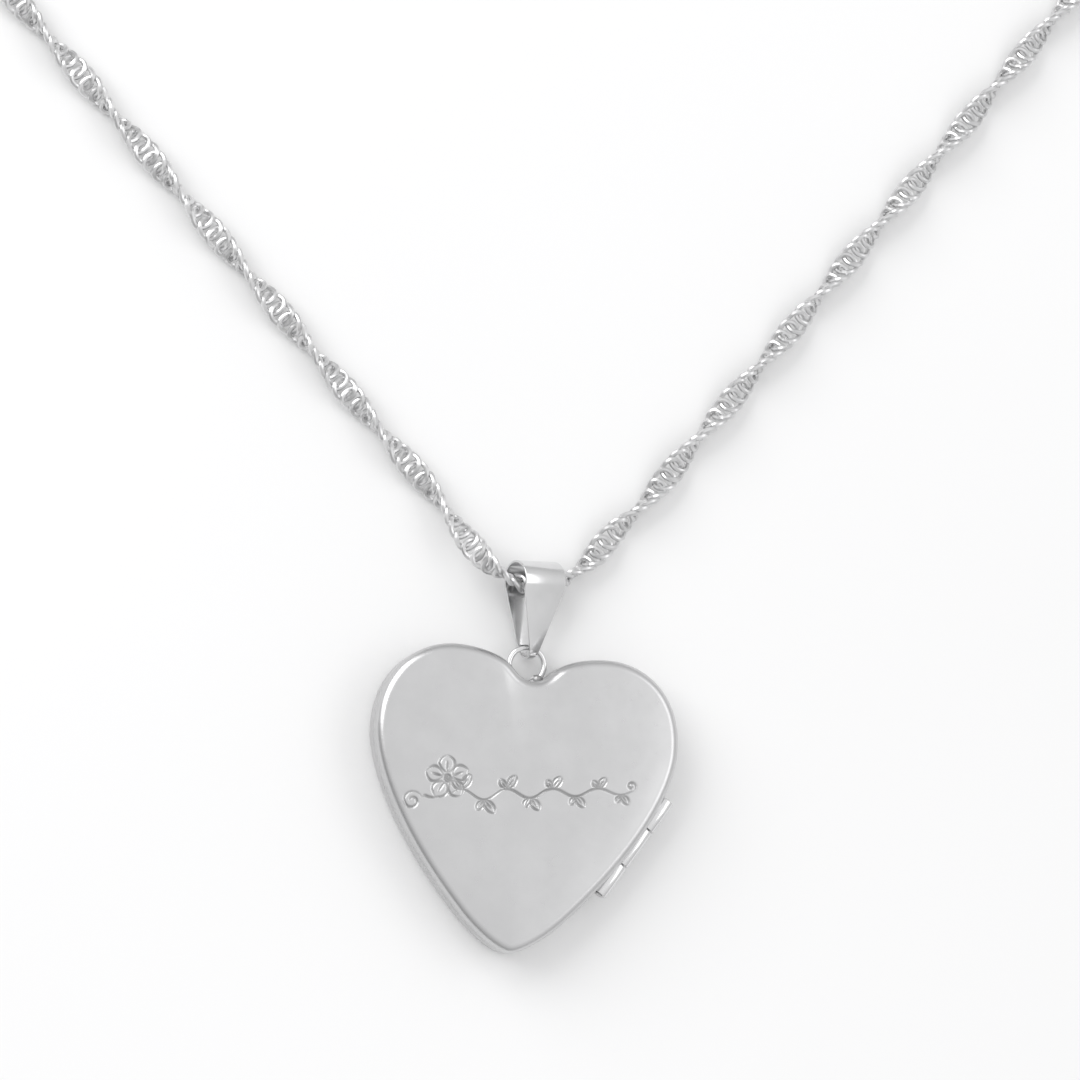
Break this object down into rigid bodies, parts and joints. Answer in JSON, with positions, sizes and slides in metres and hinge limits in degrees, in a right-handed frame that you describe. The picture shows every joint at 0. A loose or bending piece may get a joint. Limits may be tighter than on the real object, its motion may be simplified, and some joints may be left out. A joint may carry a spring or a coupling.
{
  "type": "heart locket necklace",
  "caption": "Heart-shaped silver photo locket that opens on a side hinge, hung by a ring and a folded bail from a twisted curb chain with a spring-ring clasp.",
  "frame": {"origin": "middle of the back shell's flat back face, on the table the locket lies on", "axes": "+Z out of the engraved front face, +Y up the heart's axis towards the bail, +X to the hinge side"},
  "size_m": [0.1028, 0.1111, 0.0041],
  "materials": {
    "satin_silver": "satin silver, finely brushed",
    "polished_silver": "polished silver",
    "inner_silver": "plain silver, inside",
    "chain_silver": "polished silver links",
    "card": "blank photo card",
    "clear_film": "clear film"
  },
  "bodies": {
    "bail_and_chain": {"bail": "polished_silver", "chain_run": "chain_silver", "chain_coil": "chain_silver", "chain_tail": "chain_silver", "chain_end_ring": "polished_silver", "clasp_link_ring": "polished_silver", "clasp_eyelet": "polished_silver", "clasp_body": "polished_silver"},
    "locket_back": {"back_shell": "satin_silver", "seam_lip": "inner_silver", "top_ring": "polished_silver", "hinge_knuckle_upper": "polished_silver", "hinge_knuckle_lower": "polished_silver", "hinge_pin": "inner_silver", "photo_card_back": "card", "film_window_back": "clear_film", "photo_frame_back": "polished_silver"},
    "locket_cover": {"front_shell": "satin_silver", "hinge_knuckle_middle": "polished_silver", "photo_card_front": "card", "film_window_front": "clear_film", "photo_frame_front": "polished_silver"},
    "clasp_trigger": {"clasp_bolt": "polished_silver"}
  },
  "joints": [
    {"name": "locket_swing", "type": "hinge", "parent": "bail_and_chain", "child": "locket_back", "pos_m": [-0.00014, 0.011, 0.0011], "axis": [-1, 0, 0], "range_deg": [0, 85]},
    {"name": "cover_hinge", "type": "hinge", "parent": "locket_back", "child": "locket_cover", "pos_m": [0.00855, -0.00253, 0.002], "axis": [0.5297, 0.8482, 0], "range_deg": [0, 175]},
    {"name": "clasp_bolt_slide", "type": "hinge", "parent": "bail_and_chain", "child": "clasp_trigger", "pos_m": [0.04662, 0.07829, 0.00125], "axis": [0, 0, 1], "range_deg": [0, 57], "stiffness_Nm_per_rad": 0.00002, "springref_deg": -20.05}
  ]
}
